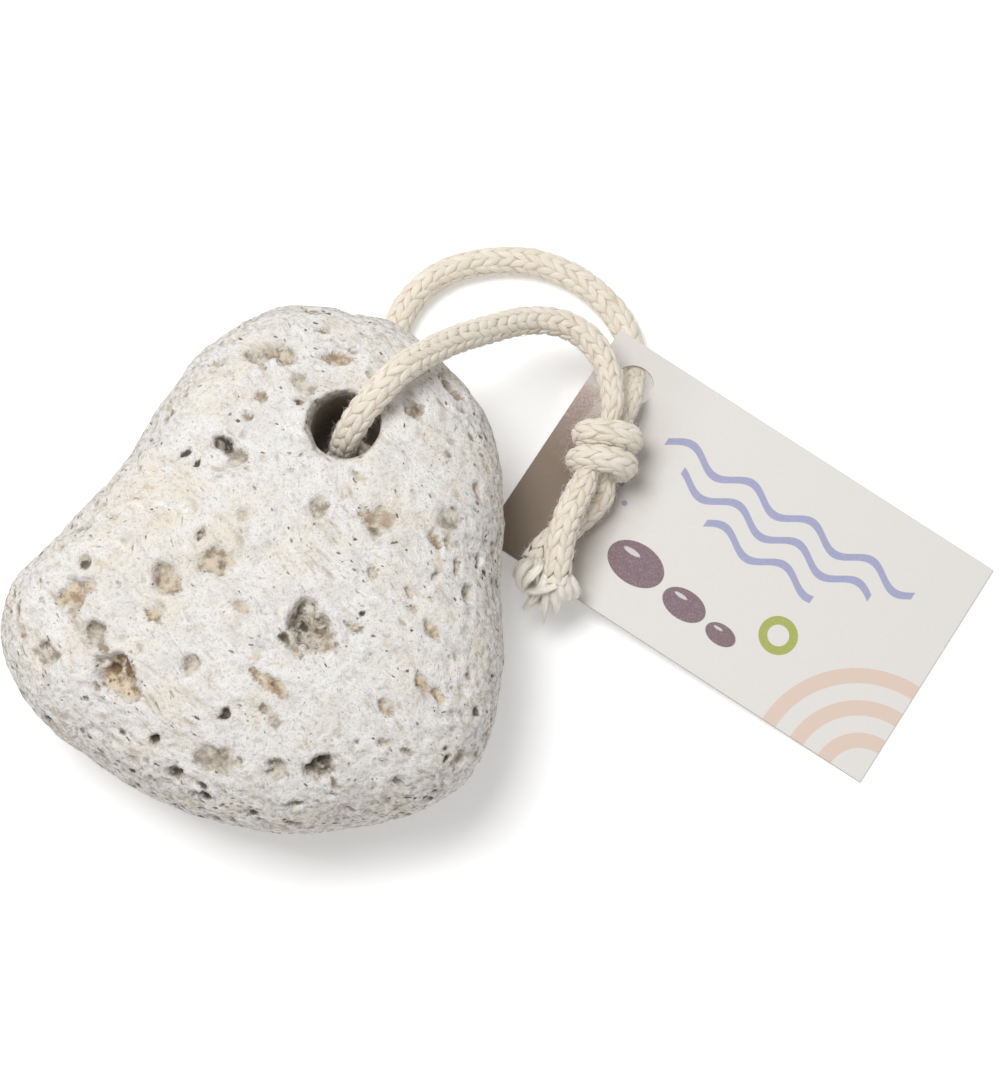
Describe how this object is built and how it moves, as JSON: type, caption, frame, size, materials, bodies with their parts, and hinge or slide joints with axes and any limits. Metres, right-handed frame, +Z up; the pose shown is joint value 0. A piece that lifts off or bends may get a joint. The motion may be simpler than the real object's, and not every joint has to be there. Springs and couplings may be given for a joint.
{
  "type": "pumice stone",
  "caption": "Rounded pale pumice foot stone with a drilled hole, a knotted cotton hanging cord through it and a card hang tag.",
  "frame": {"origin": "under the middle of the stone, on the surface that it rests on", "axes": "+Z up; +Y along the stone's length, towards its drilled end; +X across it, towards the tag"},
  "size_m": [0.165, 0.1058, 0.0428],
  "materials": {
    "pumice": "matte",
    "cotton_cord": "matte",
    "tag_card": "matte"
  },
  "bodies": {
    "root": {"stone": "pumice", "cord_loop": "cotton_cord", "cord_knot": "cotton_cord", "cord_tail_front": "cotton_cord", "cord_tail_back": "cotton_cord", "tag": "tag_card"}
  },
  "joints": []
}
